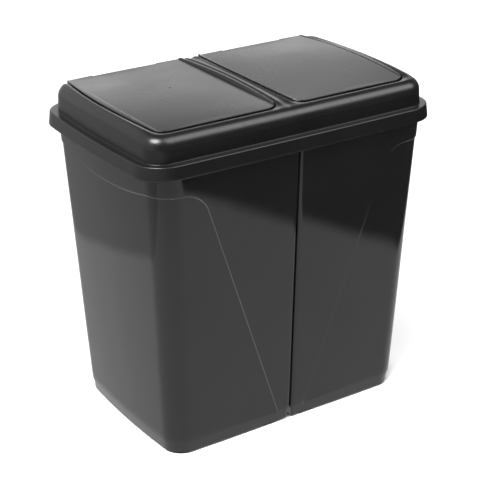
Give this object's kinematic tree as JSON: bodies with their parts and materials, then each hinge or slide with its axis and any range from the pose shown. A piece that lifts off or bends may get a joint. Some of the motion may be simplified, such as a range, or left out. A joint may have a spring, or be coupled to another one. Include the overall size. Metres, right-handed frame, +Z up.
{
  "type": "double recycling bin",
  "caption": "Two tall tapered plastic bins side by side under one lift-off frame, with a separate hinged lid over each bin.",
  "frame": {"origin": "on the floor under the middle of the bin", "axes": "+Z up, the front faces -Y, +X to the right as seen from the front; the lids' hinges are at +Y"},
  "size_m": [0.5074, 0.3332, 0.5142],
  "materials": {
    "bin": "glossy moulded polypropylene, near black",
    "frame": "satin moulded polypropylene, near black",
    "lid": "satin moulded polypropylene, near black",
    "pin": "smooth moulded acetal",
    "foot": "matt black soft pad"
  },
  "bodies": {
    "bins": {"left_bin": "bin", "right_bin": "bin", "left_bin_foot_front_outer": "foot", "left_bin_foot_front_inner": "foot", "left_bin_foot_rear_outer": "foot", "left_bin_foot_rear_inner": "foot", "right_bin_foot_front_outer": "foot", "right_bin_foot_front_inner": "foot", "right_bin_foot_rear_outer": "foot", "right_bin_foot_rear_inner": "foot"},
    "frame": {"lid_frame": "frame", "left_hinge_pin_outer": "pin", "left_hinge_pin_inner": "pin", "right_hinge_pin_outer": "pin", "right_hinge_pin_inner": "pin"},
    "lid_on_left": {"left_lid": "lid"},
    "lid_on_right": {"right_lid": "lid"}
  },
  "joints": [
    {"name": "frame_lift", "type": "slide", "parent": "bins", "child": "frame", "axis": [0, 0, 1], "range_m": [0, 0.1]},
    {"name": "left_lid_hinge", "type": "hinge", "parent": "frame", "child": "lid_on_left", "pos_m": [-0.115, 0.134, 0.503], "axis": [-1, 0, 0], "range_deg": [0, 100]},
    {"name": "right_lid_hinge", "type": "hinge", "parent": "frame", "child": "lid_on_right", "pos_m": [0.115, 0.134, 0.503], "axis": [-1, 0, 0], "range_deg": [0, 100]}
  ]
}
